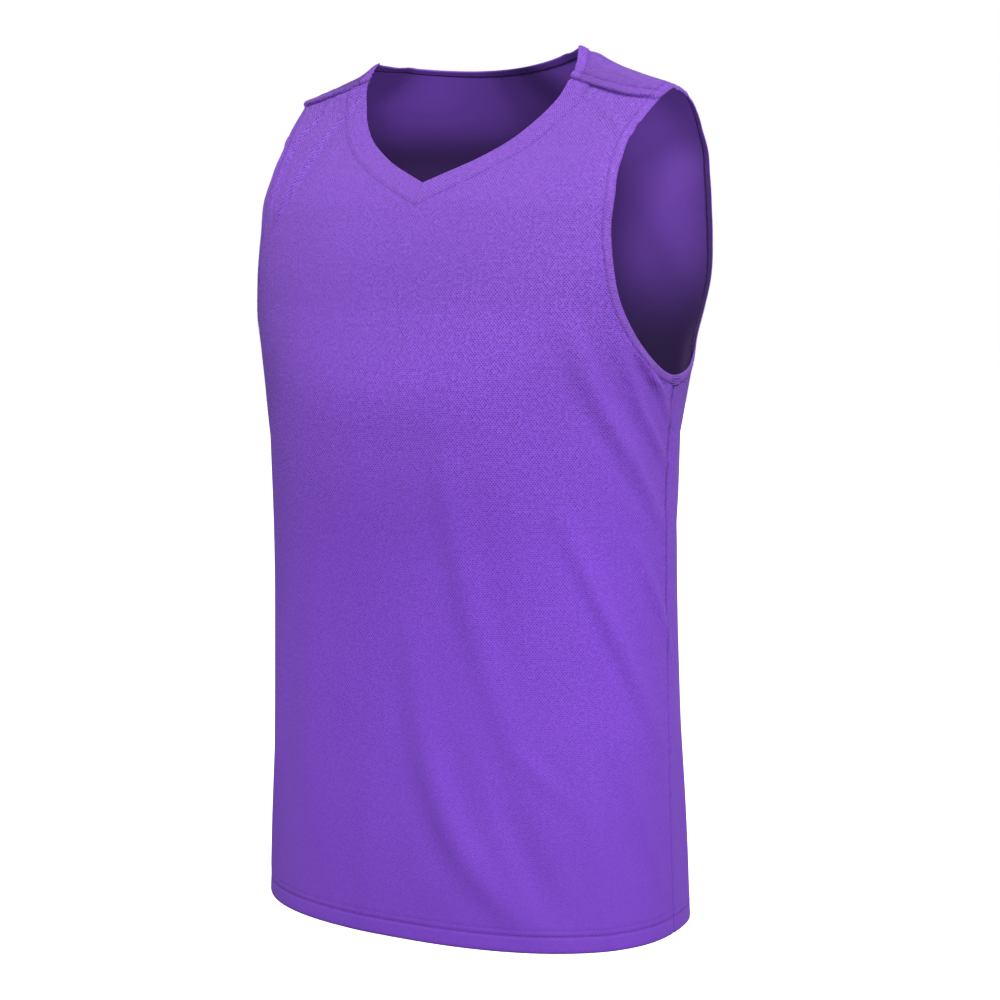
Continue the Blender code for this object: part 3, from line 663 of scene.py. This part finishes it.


# Thickness, fine relief and painted shade marks of a half panel. Its edges roll down by r exp(-(d/w)^2) and
# uneven puckers leave them; the side seam is a deeper groove; the hem has its second layer and two dips, each
# with painted shade.
def panelRelief(places, fromArm, fromNeck, along, neckRows, sideRows):
    style, hem = panelStyle, hemStyle
    up = shape["bodyLength"] - places[..., 1]
    turned = np.clip((hem["depth"] + 0.0015 - up) / 0.0015, 0, 1)
    under = shape["wall"] + (hem["wall"] - shape["wall"]) * turned
    foldRound = 0.0008 * np.clip(1 - up / 0.0022, 0, 1) ** 2
    out, under = -foldRound, under - foldRound
    roll = style["sideRoll"] * sideRows + style["roll"] * (1 - sideRows)
    shift = -roll * bump(fromArm, 0.0016) - style["roll"] * bump(fromNeck, 0.0010) * neckRows
    lift = style["sideRoll"] * 0.35 * sideRows * bump(fromArm - 0.0045, 0.0028)
    puckers = ripple(along, 0.0150, 0.9) * np.exp(-fromArm / (0.006 + 0.006 * sideRows))
    neckPuckers = ripple(along, 0.0110, 2.2) * np.exp(-fromNeck / 0.006) * neckRows
    shift = shift + lift + style["pucker"] * ((up > 0.03) * puckers + 0.7 * neckPuckers)
    # painted shade in the seams' grooves, the side's less towards the hem
    sideMark = 1.25 * sideRows * (1 - 0.8 * smooth(0.36, places[..., 1], 0.20))
    mark = bump(fromArm, 0.0008 + 0.0009 * sideRows) * (0.35 + sideMark)
    mark = mark + 0.5 * bump(fromNeck, 0.0008) * neckRows
    for line, share in zip(hem["needles"], hem["firm"]):
        sewnLine = share * bump(up - line, 0.0009)
        shift, mark = shift - hem["dip"] * sewnLine, mark + 0.45 * sewnLine
    flat = clothMap(places, True)[..., 0]
    shift = shift + 0.00025 * ripple(flat, 0.0120, 1.3) * bump(up - 0.0165, 0.006)
    shift = shift + 0.00018 * ripple(flat, 0.0170, 2.9) * bump(up - 0.0260, 0.010)
    return out, under, shift, mark


def makePanel(front, material):
    style, length, halfGap = panelStyle, shape["bodyLength"], shape["seamGap"] / 2
    side = upright(np.pi / 2, -halfGap if front else halfGap)
    gapOnArm = armBinding["width"] + shape["seamGap"]
    width = (neckBand if front else neckBinding)["width"] + shape["seamGap"]
    lines = armCurve(gapOnArm, front, side), neckCurve(width, front)
    arm, neck = (spaced(line, stations(line, style), style["closeRows"]) for line in lines)
    seamSide = beside(seamLine, halfGap, 1 if front else -1)
    seam = between(seamSide[::-1], beside(armLine, gapOnArm, -1), beside(neckLine, width, 1))
    drops = hemRows(arm[0, 1])
    places, fromArm, fromNeck = panelGrid(arm, neck, side, seam, drops, front)
    rowsUp = np.hstack([length - drops, length - arm[0, 1] + lengthAlong(arm)])[:, None]
    row = np.arange(len(places))[:, None]
    neckRows, sideRows = (row >= len(places) - len(neck)) * 1.0, (row < len(drops)) * 1.0
    relief = panelRelief(places, fromArm, fromNeck, rowsUp, neckRows, sideRows)
    grid = gridOf(places, *relief, clothMap(places, front))
    return clothWall("front_cloth" if front else "back_cloth", [grid, mirrored(grid)], material)


# A band's places at each station from its free edge to its seam, in its own width. Across it, the
# face is flat with a rounded free edge, a dip at its stitches and a rolled seam edge.
def bandGrid(edge, seam, style):
    width, line = style["width"], style["width"] - style["stitchInset"]
    middle = np.linspace(0.0024, line - 0.0012, style["across"])
    sewnRows, last = line + np.array([-0.0005, 0, 0.0005]), width - np.array([0.0011, 0.0004, 0])
    across = np.hstack([0, 0.00025, 0.0007, 0.0014, middle, sewnRows, last])
    across = np.unique(np.clip(across, 0, width))
    share = (across / width)[None, :, None]
    places = edge[:, None] * (1 - share) + seam[:, None] * share
    rounded = 0.0007 * np.clip(1 - across / 0.0014, 0, 1) ** 2
    tucked = style["tuck"] * np.clip(1 - (width - across) / 0.0011, 0, 1) ** 2
    dip = style["dip"] * bump(across - line, 0.0008)
    crown = 0.00010 * np.sin(np.pi * across / width)
    curl = style["curl"] * np.clip(1 - across / width, 0, 1) ** 2
    out = style["proud"] + crown - rounded - tucked - dip
    under = style["under"] - rounded - 0.5 * dip
    along = lengthAlong(edge)[:, None]
    shift = style["pucker"] * ripple(along, 0.0093, 0.7) * bump(across - line, 0.004) - curl
    # painted shade at the seam edge and in the stitch line's dip
    mark = 0.35 * bump(width - across, 0.0008) + 0.3 * bump(across - line, 0.0007)
    return gridOf(places, out, under, shift, mark, asPlaces(along, across))


neckBand = {
    "width": 0.020, "proud": 0.0002, "under": 0.0014, "across": 9, "stitchInset": 0.0022, "curl": 0.0002,
    "tuck": 0.0003, "dip": 0.00005, "pucker": 0.00012, "pitch": 0.0020, "mitre": 0.0002,
}
neckBinding = {
    "width": 0.009, "proud": 0.0002, "under": 0.0017, "across": 5, "stitchInset": 0.0015, "curl": 0.0004,
    "tuck": 0.0004, "dip": 0.0002, "pucker": 0.00018, "pitch": 0.0020,
}
armBinding = {
    **neckBinding, "width": 0.0075, "stitchInset": 0.0012, "curl": 0.0011, "pucker": 0.00020,
    "pitch": 0.0022, "length": 0.644,
}


def makeNeckPiece(name, style, front, material):
    edge, seam = neckCurve(0, front), neckCurve(style["width"], front)
    edge, seam = (spaced(line, stations(seam, style)) for line in (edge, seam))
    grid, fromMitre = bandGrid(edge, seam, style), lengthAlong(seam)[:, None]
    if front:
        grid["shift"] = grid["shift"] - style["mitre"] * bump(fromMitre, 0.0010)
        # painted shade along the mitre
        grid["seam"] = np.clip(grid["seam"] + 0.3 * bump(fromMitre, 0.0008), 0, 1)
    return clothWall(name, [grid, mirrored(grid)], material)


def ringCurve(width, count):
    front, back = armCurve(width, True), armCurve(width, False)
    ahead, behind = lengthAlong(front)[-1], lengthAlong(back)[-1]
    frontCount = int(round(count * ahead / (ahead + behind)))
    front, back = spaced(front, frontCount), spaced(back, count - frontCount)
    return np.vstack([front, back[-2:0:-1]])


def makeArmBinding(side, material):
    count = int(armBinding["length"] / armBinding["pitch"])
    grid = bandGrid(ringCurve(0, count), ringCurve(armBinding["width"], count), armBinding)
    grids = [grid if side == "left" else mirrored(grid)]
    return clothWall("armhole_binding_" + side + "_cloth", grids, material, closed=True)


stitchStyle = {"pitch": 0.0030, "length": 0.0024, "radius": 0.00017, "lift": 0.0}
tackStitch = {"pitch": 0.0019, "length": 0.0018, "radius": 0.00052, "lift": 0.0004}
tackAngles = np.radians(np.linspace(88.2, 94.8, 40))
tackDrops = np.arange(0.2674, 0.2735, 0.0013)
rodRings, rodSides = 5, 5


# Stitches along a line of places: each is a thin rod that follows the line for its length and sinks
# at both ends, height = r (1.6 sqrt(1 - s^2) - 0.7).
def stitchRow(line, **more):
    style, along = {**stitchStyle, **more}, lengthAlong(line)
    at = np.arange(style["pitch"] / 2, along[-1] - style["length"] / 2, style["pitch"])[:, None]
    s = np.linspace(-1, 1, rodRings)
    where = at + s * style["length"] / 2
    centre, normal = clothAndNormal(placesAt(where, along, line))
    aside = np.cross(normal, unit(np.gradient(centre, axis=1)))[:, :, None]
    centre, normal = centre[:, :, None], normal[:, :, None]
    thick = np.sqrt(np.clip(1 - (s * 0.94) ** 2, 0, 1)) * style["radius"]
    height = style["lift"] + 1.6 * thick - 0.7 * style["radius"]
    turn = np.arange(rodSides)[:, None] * 2 * np.pi / rodSides
    ring = np.cos(turn) * aside + np.sin(turn) * normal
    points = centre + height[..., None, None] * normal + thick[..., None, None] * ring
    return points.reshape(-1, rodRings * rodSides, 3)


def makeStitches(name, rows):
    points = np.vstack(rows)
    base = np.arange(rodRings * rodSides).reshape(rodRings, rodSides)
    following = np.roll(base, -1, axis=1)
    tube = np.stack([base[:-1], base[1:], following[1:], following[:-1]], axis=-1).reshape(-1, 4)
    quad = points[0][tube[0]]
    if np.cross(quad[1] - quad[0], quad[3] - quad[0]) @ (quad[0] - points[0].mean(0)) < 0:
        tube = tube[:, ::-1]
    faces = tube + base.size * np.arange(len(points))[:, None, None]
    return addPiece(name, points.reshape(-1, 3), faces.reshape(-1, 4), thread)


def bothSides(line, **more):
    return [stitchRow(line * (side, 1), **more) for side in (1, -1)]


def hemLine(up, front):
    return asPlaces(np.linspace(0 if front else np.pi, np.pi / 2, 200), shape["bodyLength"] - up)


# Shader nodes. A value that is a socket is linked, and any other is set on the input.
def fill(tree, socket, value):
    if isinstance(value, bpy.types.NodeSocket):
        tree.links.new(value, socket)
    else:
        socket.default_value = value


def fillInputs(tree, node, **values):
    for label, value in values.items():
        fill(tree, node.inputs[label.replace("_", " ")], value)
    return node


def addNode(tree, kind, group=None, **values):
    node = tree.nodes.new("ShaderNode" + kind)
    if group:
        node.node_tree = group
    return fillInputs(tree, node, **values)


def mathNode(tree, operation, *values, clamp=False):
    node = addNode(tree, "Math")
    node.operation, node.use_clamp = operation, clamp
    for socket, value in zip(node.inputs, values):
        fill(tree, socket, value)
    return node.outputs[0]


def mixColour(tree, factor, first, second, blend="MIX"):
    node = addNode(tree, "Mix")
    node.data_type, node.blend_type = "RGBA", blend
    for index, value in zip((0, 6, 7), (factor, first, second)):
        fill(tree, node.inputs[index], value)
    return node.outputs[2]


def rgb(r, g, b):
    return (r, g, b, 1.0)


# A node group: its inputs' names with their values (None for a vector), and its outputs' names.
def newGroup(name, inputs, outputs):
    group = bpy.data.node_groups.new(name, "ShaderNodeTree")
    for label, value in inputs.items():
        kind = "NodeSocketVector" if value is None else "NodeSocketFloat"
        socket = group.interface.new_socket(name=label, in_out="INPUT", socket_type=kind)
        if value is not None:
            socket.default_value = value
    for label in outputs:
        group.interface.new_socket(name=label, in_out="OUTPUT", socket_type="NodeSocketFloat")
    return group, group.nodes.new("NodeGroupInput").outputs, group.nodes.new("NodeGroupOutput").inputs


def newMaterial(name):
    material = bpy.data.materials.new(name)
    material.use_nodes = True
    return material, material.node_tree, material.node_tree.nodes["Principled BSDF"]


# Eyelet knit on the cloth's own map: rows of small oval holes, each row shifted by half a hole, and
# fine ribs between them. Hole is 1 in a hole; Height is the knit's relief from 0 to 1.
def makeEyeletGroup():
    group, ins, outs = newGroup(
        "eyeletKnit", {"Map": None, "Pitch": 0.0023, "Hole Size": 0.3, "Wander": 0.9}, ("Hole", "Height")
    )
    m = partial(mathNode, group)
    u, v = addNode(group, "SeparateXYZ", Vector=ins["Map"]).outputs[:2]
    noise = addNode(group, "TexNoise", Vector=ins["Map"], Scale=360.0, Detail=2.0)
    drift = m("MULTIPLY", m("SUBTRACT", noise.outputs["Fac"], 0.5), ins["Wander"])
    across = m("ADD", m("DIVIDE", u, ins["Pitch"]), drift)
    up = m("DIVIDE", v, m("MULTIPLY", ins["Pitch"], 0.62))
    odd = m("MULTIPLY", m("MODULO", m("ADD", m("FLOOR", up), 2000.0), 2.0), 0.5)
    x = m("SUBTRACT", m("FRACT", m("ADD", across, odd)), 0.5)
    y = m("MULTIPLY", m("SUBTRACT", m("FRACT", up), 0.5), 0.66)
    far = m("SQRT", m("ADD", m("MULTIPLY", x, x), m("MULTIPLY", y, y)))
    edge = m("DIVIDE", m("SUBTRACT", ins["Hole Size"], far), 0.16)
    firm = m("MULTIPLY_ADD", drift, 3.4, 0.8, clamp=True)
    hole = m("MULTIPLY", m("ADD", edge, 0.5, clamp=True), firm)
    rib = m("ABSOLUTE", m("SINE", m("MULTIPLY", u, 3700.0)))
    loop = m("ABSOLUTE", m("SINE", m("MULTIPLY", v, 4100.0)))
    yarn = m("MULTIPLY", m("ADD", rib, loop), 0.18)
    height = m("MULTIPLY", m("SUBTRACT", 1.0, hole), m("ADD", m("ADD", yarn, 0.64), drift))
    fill(group, outs["Hole"], hole)
    fill(group, outs["Height"], height)
    return group


# Slow unevenness of dyed cloth: two sizes of noise on object coordinates, from 0 to 1.
def makeToneGroup():
    inputs, shares = {"Position": None, "Broad Scale": 14.0, "Fine Scale": 260.0}, []
    group, ins, outs = newGroup("clothTone", inputs, ["Tone"])
    for label, weight in (("Broad Scale", 0.55), ("Fine Scale", 0.45)):
        noise = addNode(group, "TexNoise", Vector=ins["Position"], Scale=ins[label], Detail=3.0)
        shares.append(mathNode(group, "MULTIPLY", noise.outputs["Fac"], weight))
    fill(group, outs["Tone"], mathNode(group, "ADD", *shares))
    return group


eyeletGroup, toneGroup = makeEyeletGroup(), makeToneGroup()


def toneOf(tree, **values):
    coords = addNode(tree, "TexCoord").outputs["Object"]
    return addNode(tree, "Group", toneGroup, Position=coords, **values).outputs["Tone"]


# Mesh knit whose relief and dark holes, painted shade seen through the mesh, show more towards the top of the
# cloth, painted paler there for the light from above, with painted shade towards the hem and in the seams,
# and painted light glowing on the inside.
def knitMaterial(name, style):
    material, tree, shader = newMaterial(name)
    m = partial(mathNode, tree)
    clothUv = addNode(tree, "UVMap")
    clothUv.uv_map = "clothMap"
    clothUv = clothUv.outputs[0]
    knit = addNode(tree, "Group", eyeletGroup, Map=clothUv, Pitch=style["pitch"], Hole_Size=style["hole"])
    marks = []
    for mark in ("inner", "seam", "light"):
        node = addNode(tree, "Attribute")
        node.attribute_name = mark
        marks.append(node.outputs["Fac"])
    inner, seam, light = marks
    outer = m("SUBTRACT", 1.0, inner)
    up = addNode(tree, "SeparateXYZ", Vector=clothUv).outputs[1]
    # how much the relief and the holes' painted shade show: more towards the top of the cloth
    knitShowing = m("MULTIPLY_ADD", up, style["knitShowing"], style["closed"], clamp=True)
    holeShare = m("MULTIPLY", knitShowing, style["holeShade"])
    holeShare = m("MULTIPLY", holeShare, m("MULTIPLY_ADD", outer, 0.85, 0.15))
    tone = toneOf(tree)
    face = mixColour(tree, tone, style["dark"], style["light"])
    # painted light by height: greyer and paler at the lit top, bluer lower down
    litTopShare = m("MULTIPLY_ADD", up, style["fade"], style["faded"], clamp=True)
    face = mixColour(tree, 1.0, face, mixColour(tree, litTopShare, style["shadedLowTint"], style["litHighTint"]), "MULTIPLY")
    # painted shade darkening the body's lowest part towards the hem
    paintedHemShade = m("MULTIPLY_ADD", up, 5 * style["hemShade"], 1 - style["hemShade"], clamp=True)
    face = mixColour(tree, paintedHemShade, rgb(0, 0, 0), face)
    # dark holes: painted shade seen through the mesh
    face = mixColour(tree, m("MULTIPLY", knit.outputs["Hole"], holeShare), face, style["holeShadeColour"])
    # painted shade in the seams' grooves, stronger on the inside
    seamShare = m("MULTIPLY", seam, m("MULTIPLY_ADD", inner, 0.9 - style["seamShade"], style["seamShade"]))
    face = mixColour(tree, seamShare, face, style["seamShadeColour"])
    # painted shade on the inside where its painted light is low, and painted light glowing from it as
    # emission, less at the seams
    shade = m("SUBTRACT", 1.0, m("POWER", light, 1.6))
    paintedGlow = m("MULTIPLY", m("MULTIPLY", inner, light), m("MULTIPLY_ADD", seam, -0.5, 0.625))
    relief = addNode(
        tree, "Bump", Strength=style["relief"], Distance=style["reliefDepth"],
        Height=m("MULTIPLY", knit.outputs["Height"], m("MULTIPLY", knitShowing, outer)),
    )
    fillInputs(
        tree, shader,
        Base_Color=mixColour(tree, shade, face, style["shadeColour"]),
        Emission_Color=mixColour(tree, paintedGlow, rgb(0, 0, 0), style["paintedGlow"]), Emission_Strength=1.0,
        Normal=relief.outputs["Normal"], Roughness=m("ADD", m("MULTIPLY", tone, 0.12), style["rough"]),
        Specular_IOR_Level=0.25,
        Sheen_Weight=style["sheen"], Sheen_Roughness=0.45, Sheen_Tint=style["sheenTint"],
    )
    return material


bodyKnit = {
    "dark": rgb(0.215, 0.068, 0.560), "light": rgb(0.270, 0.092, 0.650), "paintedGlow": rgb(0.080, 0.030, 0.224),
    "holeShadeColour": rgb(0.060, 0.014, 0.220), "seamShadeColour": rgb(0.030, 0.008, 0.110),
    "shadeColour": rgb(0.010, 0.002, 0.034), "sheenTint": rgb(0.60, 0.38, 1.00), "sheen": 0.17,
    "shadedLowTint": rgb(0.96, 0.88, 1.12), "litHighTint": rgb(0.92, 1.04, 0.84), "fade": 2.6, "faded": -0.83,
    "pitch": 0.0024, "hole": 0.28, "holeShade": 0.86, "knitShowing": 1.3, "closed": 0.32, "seamShade": 0.55,
    "relief": 1.0, "reliefDepth": 0.00036, "rough": 0.58, "hemShade": 0.12,
}
bandKnit = {
    **bodyKnit, "pitch": 0.0023, "knitShowing": 0.0, "closed": 0.95, "fade": 0.0, "faded": 0.9, "hemShade": 0.0,
}
bindingKnit = {**bandKnit, "pitch": 0.0022, "closed": 0.85, "paintedGlow": rgb(0.040, 0.014, 0.120)}


thread, threadTree, threadShader = newMaterial("sewing_thread")
threadTone = toneOf(threadTree, Broad_Scale=400.0, Fine_Scale=2400.0)
threadColour = mixColour(threadTree, threadTone, rgb(0.15, 0.040, 0.42), rgb(0.26, 0.085, 0.62))
fillInputs(threadTree, threadShader, Base_Color=threadColour, Roughness=0.5)


# The garment
frontPanel = makePanel(True, knitMaterial("front_mesh_knit", bodyKnit))
print("front panel", len(frontPanel.data.polygons))
backPanel = makePanel(False, knitMaterial("back_mesh_knit", bodyKnit))
print("back panel", len(backPanel.data.polygons))
bandPiece = makeNeckPiece("neck_band_cloth", neckBand, True, knitMaterial("neck_band_knit", bandKnit))
bindingCloth = knitMaterial("binding_knit", bindingKnit)
bindingPiece = makeNeckPiece("back_neck_binding_cloth", neckBinding, False, bindingCloth)
leftPiece, rightPiece = (makeArmBinding(side, bindingCloth) for side in ("left", "right"))
print("bands and bindings")

stitches = {}
for side in ("front", "back"):
    rows = sum((bothSides(hemLine(up, side == "front"), lift=-0.0003) for up in hemStyle["needles"]), [])
    stitches[side] = makeStitches("hem_stitches_" + side, rows)
neckStitchLine = neckCurve(neckBinding["width"] - neckBinding["stitchInset"], False)
stitches["neck"] = makeStitches("back_neck_stitches", bothSides(neckStitchLine, lift=0.00025))
ring = ringCurve(armBinding["width"] - armBinding["stitchInset"], 500)
ring = np.vstack([ring, ring[:1]])
for side, turn in (("left", 1), ("right", -1)):
    rows = [stitchRow(ring * (turn, 1), lift=0.00025)]
    # short rows of close stitches tack the underarm down
    rows += [stitchRow(asPlaces(tackAngles * turn, drop), **tackStitch) for drop in tackDrops]
    stitches[side] = makeStitches("armhole_stitches_" + side, rows)
fellLine = beside(seamLine, fell["width"] + fell["needle"], -1)
fellLine = between(fellLine, beside(neckLine, 0.001, 1), beside(armLine, 0.001, -1))
stitches["shoulder"] = makeStitches("shoulder_stitches", bothSides(fellLine, lift=-0.0004))
print("stitches")

# What each piece stands for, its slot, its flat size and area, and its sewing
sewn = (
    (frontPanel, "front_panel", "front_mesh", (0.528, 0.650), 0.318, ["front"]),
    (backPanel, "back_panel", "back_mesh", (0.528, 0.760), 0.344, ["back", "shoulder"]),
    (bandPiece, "neck_band", "neck_rib", (0.333, 0.020), None, []),
    (bindingPiece, "back_neck_binding", "neck_binding", (0.300, 0.010), 0.0026, ["neck"]),
    (leftPiece, "armhole_binding_left", "arm_binding_left", (0.644, 0.010), 0.00483, ["left"]),
    (rightPiece, "armhole_binding_right", "arm_binding_right", (0.644, 0.010), 0.00483, ["right"]),
)
for piece, node, slot, flat, area, sewing in sewn:
    extras = [stitches[name] for name in sewing]
    for item in [piece, *extras]:
        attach(item, "root")
    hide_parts(node)

# Stage, light and camera
stage = {"floorZ": -1.05, "floorRadius": 14.0, "above": 0.50, "below": 0.14}


def makeFloor():
    turn = np.linspace(0, 2 * np.pi, 96, endpoint=False)
    rim = (stage["floorRadius"] * asPlaces(np.cos(turn), np.sin(turn))).tolist()
    mesh = bpy.data.meshes.new("studio_floor")
    mesh.from_pydata([(x, y, stage["floorZ"]) for x, y in rim], [], [list(range(len(rim)))])
    floor = addObject("studio_floor", mesh)
    material, tree, shader = newMaterial("studio_floor")
    pale, white = rgb(0.93, 0.93, 0.94), rgb(1, 1, 1)
    fillInputs(tree, shader, Base_Color=pale, Roughness=0.9, Emission_Color=white, Emission_Strength=1.0)
    mesh.materials.append(material)
    floor.visible_diffuse = floor.visible_glossy = False  # it lights nothing from below


# The lamps' room: a white sky that is strongest overhead, dim below, and plain white to the camera.
def makeWorld():
    world = scene.world = bpy.data.worlds.new("studio")
    world.use_nodes = True
    tree = world.node_tree
    split = addNode(tree, "SeparateXYZ", Vector=addNode(tree, "TexCoord").outputs["Generated"])
    up = mathNode(tree, "MULTIPLY_ADD", split.outputs[2], 0.5, 0.5, clamp=True)
    strength = mathNode(tree, "MULTIPLY_ADD", up, stage["above"] - stage["below"], stage["below"])
    sky = fillInputs(tree, tree.nodes["Background"], Strength=strength, Color=rgb(1, 1, 1))
    seen = addNode(tree, "Background", Strength=1.0, Color=rgb(1, 1, 1))
    mix = addNode(tree, "MixShader")
    fromCamera = addNode(tree, "LightPath").outputs["Is Camera Ray"]
    for socket, value in zip(mix.inputs, (fromCamera, sky.outputs[0], seen.outputs[0])):
        fill(tree, socket, value)
    fill(tree, tree.nodes["World Output"].inputs["Surface"], mix.outputs[0])


def addLamp(name, style, target=(0.0, 0.0, -0.30)):
    lamp = bpy.data.lights.new(name, "AREA")
    lamp.energy, lamp.shape, lamp.size = style["power"], "DISK", style["size"]
    a, e = np.radians(style["azimuth"]), np.radians(style["elevation"])
    source = Vector((np.sin(a) * np.cos(e), -np.cos(a) * np.cos(e), np.sin(e)))
    item = addObject(name, lamp)
    item.location = Vector(target) + source * style["distance"]
    item.rotation_euler = source.to_track_quat("Z", "Y").to_euler()


makeFloor()
makeWorld()
lamps = {
    "key_light": {"azimuth": 44, "elevation": 38, "distance": 2.4, "size": 0.8, "power": 58},
    "side_light": {"azimuth": -52, "elevation": 24, "distance": 2.6, "size": 1.4, "power": 21.5},
    "fill_light": {"azimuth": 92, "elevation": 12, "distance": 2.6, "size": 1.2, "power": 8.5},
}
for lampName, lampStyle in lamps.items():
    addLamp(lampName, lampStyle)

cameraStyle = {
    "distance": 1.80, "azimuth": 30.24, "height": -0.1757, "look": 29.55, "tilt": -5.84, "focal": 2.0994,
}
cameraData = bpy.data.cameras.new("camera")
cameraData.sensor_width = 36.0
cameraData.lens = cameraData.sensor_width * cameraStyle["focal"]
cameraData.clip_start, cameraData.clip_end = 0.05, 60
camera = addObject("camera", cameraData)
a, look, tilt = (np.radians(cameraStyle[k]) for k in ("azimuth", "look", "tilt"))
ahead = Vector((-np.sin(look) * np.cos(tilt), np.cos(look) * np.cos(tilt), np.sin(tilt)))
away = cameraStyle["distance"]
camera.location = (away * np.sin(a), -away * np.cos(a), cameraStyle["height"])
camera.rotation_euler = ahead.to_track_quat("-Z", "Y").to_euler()
scene.camera = camera
scene.view_settings.view_transform = "Standard"
